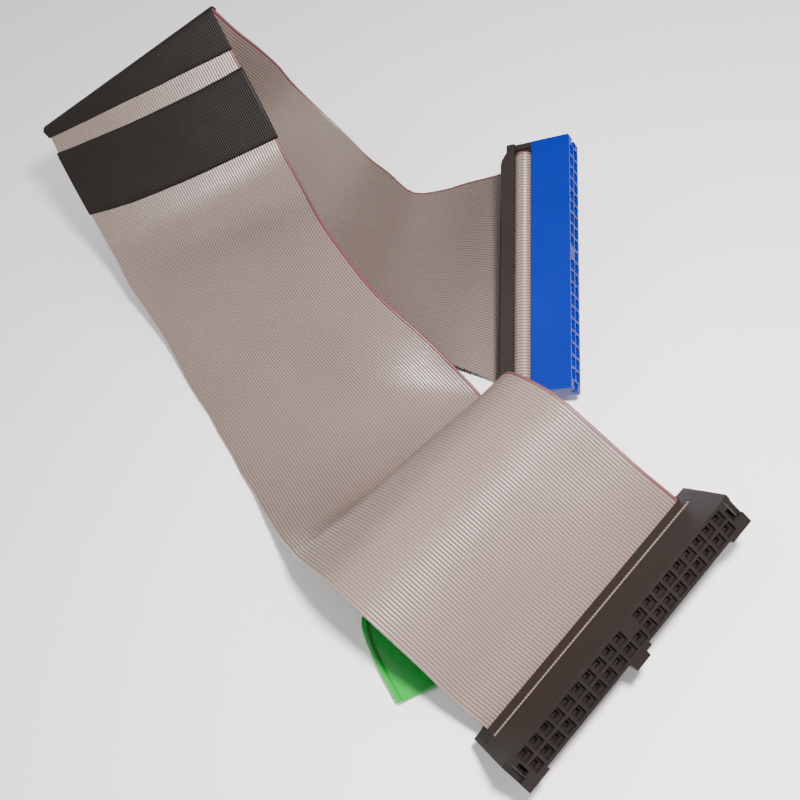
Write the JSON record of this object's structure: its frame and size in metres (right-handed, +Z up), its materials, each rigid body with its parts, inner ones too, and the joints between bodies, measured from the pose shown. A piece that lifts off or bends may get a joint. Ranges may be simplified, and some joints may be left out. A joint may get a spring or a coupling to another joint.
{
  "type": "ribbon cable",
  "caption": "Flat grey ribbon cable with a red edge wire, folded once under black cloth tape, with a blue and a black press-on socket connector and a green pull tab.",
  "frame": {"origin": "middle of the part's box in plan, on the surface that it lies on", "axes": "+Z up, +Y towards the taped fold, +X towards the mating face of the blue connector"},
  "size_m": [0.1412, 0.1698, 0.0531],
  "materials": {
    "cable_pvc": "satin, one red conductor at the edge",
    "cloth_tape": "matt ribbed cloth",
    "blue_plastic": "satin moulded",
    "black_plastic": "satin moulded",
    "green_plastic": "glossy moulded",
    "contact_metal": "tin plate"
  },
  "bodies": {
    "root": {"ribbon": "cable_pvc", "tape_band_fold": "cloth_tape", "tape_band_lower": "cloth_tape", "host_housing": "blue_plastic", "host_cover": "black_plastic", "host_strain_relief": "black_plastic", "host_contacts": "contact_metal", "host_ground_bar": "contact_metal", "drive_housing": "black_plastic", "drive_cover": "black_plastic", "drive_strain_relief": "black_plastic", "drive_contacts": "contact_metal", "drive_ground_bar": "contact_metal", "pull_tab": "green_plastic"}
  },
  "joints": []
}
